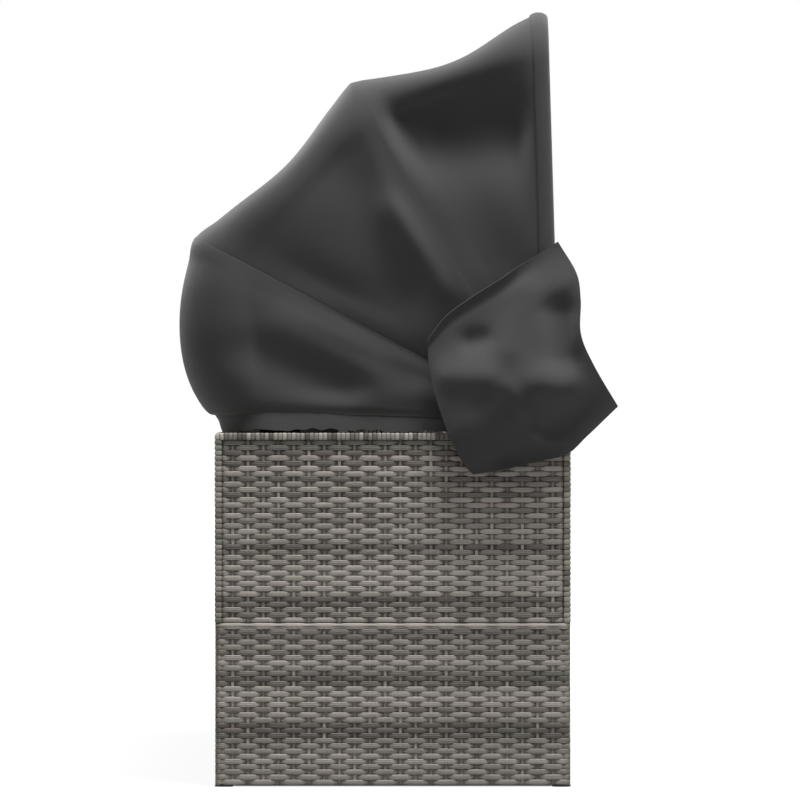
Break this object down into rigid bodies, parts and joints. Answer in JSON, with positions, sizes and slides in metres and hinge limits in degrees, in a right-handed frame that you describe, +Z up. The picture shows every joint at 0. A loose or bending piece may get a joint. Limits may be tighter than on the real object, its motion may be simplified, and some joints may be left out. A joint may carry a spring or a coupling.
{
  "type": "canopy sun lounger",
  "caption": "Outdoor lounge bench in woven plastic rattan with arm and back panels, cushions, and a folding cloth canopy on steel hoops with a loose flap over each pivot.",
  "frame": {"origin": "middle of the bench's footprint on the floor", "axes": "+X along the bench to its right arm, -Y to the open front where a person gets on, +Z up"},
  "size_m": [2.0826, 0.701, 1.2393],
  "materials": {
    "wicker": "woven flat plastic rattan strands in mixed greys with a fine grain",
    "frame_steel": "dark grey powder coat",
    "hoop_steel": "grey powder coat",
    "fastener": "zinc plated",
    "black_plastic": "moulded, satin",
    "canopy_cloth": "dark grey woven polyester",
    "cushion_cloth": "dark grey woven polyester over foam"
  },
  "bodies": {
    "frame": {"base_frame": "frame_steel", "foot_glide_1": "black_plastic", "foot_glide_2": "black_plastic", "foot_glide_3": "black_plastic", "foot_glide_4": "black_plastic", "foot_glide_5": "black_plastic", "foot_glide_6": "black_plastic", "base_front_weave": "wicker", "base_rear_weave": "wicker", "base_left_weave": "wicker", "base_right_weave": "wicker", "seat_deck": "wicker", "left_arm_rim": "wicker", "left_arm_outer_weave": "wicker", "left_arm_inner_weave": "wicker", "left_arm_frame": "frame_steel", "right_arm_rim": "wicker", "right_arm_outer_weave": "wicker", "right_arm_inner_weave": "wicker", "right_arm_frame": "frame_steel", "back_rim": "wicker", "back_outer_weave": "wicker", "back_inner_weave": "wicker", "back_frame": "frame_steel", "left_arm_bolt_front": "fastener", "left_arm_bolt_rear": "fastener", "right_arm_bolt_front": "fastener", "right_arm_bolt_rear": "fastener", "back_bolt_left": "fastener", "back_bolt_right": "fastener", "base_hoop": "hoop_steel", "left_pivot_bracket": "hoop_steel", "left_pivot_bolt": "fastener", "left_pivot_nut": "fastener", "left_inner_spacer": "black_plastic", "left_middle_spacer": "black_plastic", "left_outer_spacer": "black_plastic", "left_arm_saddle": "black_plastic", "left_back_saddle": "black_plastic", "right_pivot_bracket": "hoop_steel", "right_pivot_bolt": "fastener", "right_pivot_nut": "fastener", "right_inner_spacer": "black_plastic", "right_middle_spacer": "black_plastic", "right_outer_spacer": "black_plastic", "right_arm_saddle": "black_plastic", "right_back_saddle": "black_plastic", "canopy_lower_panel": "canopy_cloth", "canopy_base_hem": "canopy_cloth", "seat_cushion": "cushion_cloth", "left_pillow": "cushion_cloth", "right_pillow": "cushion_cloth"},
    "rear_hoop": {"rear_hoop": "hoop_steel", "canopy_rear_panel": "canopy_cloth"},
    "middle_hoop": {"middle_hoop": "hoop_steel", "canopy_front_panel": "canopy_cloth"},
    "front_hoop": {"front_hoop": "hoop_steel", "canopy_front_hem": "canopy_cloth", "left_pivot_flap": "canopy_cloth", "right_pivot_flap": "canopy_cloth"}
  },
  "joints": [
    {"name": "canopy_fold", "type": "hinge", "parent": "frame", "child": "rear_hoop", "pos_m": [0, -0.25, 0.5826], "axis": [-1, 0, 0], "range_deg": [0, 25.3], "deforming": ["canopy_lower_panel"]},
    {"name": "middle_hoop_fold", "type": "hinge", "parent": "rear_hoop", "child": "middle_hoop", "pos_m": [0, -0.25, 0.5826], "axis": [-1, 0, 0], "range_deg": [0, 29], "deforming": ["canopy_rear_panel"]},
    {"name": "front_hoop_fold", "type": "hinge", "parent": "middle_hoop", "child": "front_hoop", "pos_m": [0, -0.25, 0.5826], "axis": [-1, 0, 0], "range_deg": [0, 25.5], "deforming": ["canopy_front_panel", "left_pivot_flap", "right_pivot_flap"]}
  ],
  "couplings": [
    {"joint": "middle_hoop_fold", "follows": "canopy_fold", "ratio": 1.1462},
    {"joint": "front_hoop_fold", "follows": "canopy_fold", "ratio": 1.0079}
  ]
}
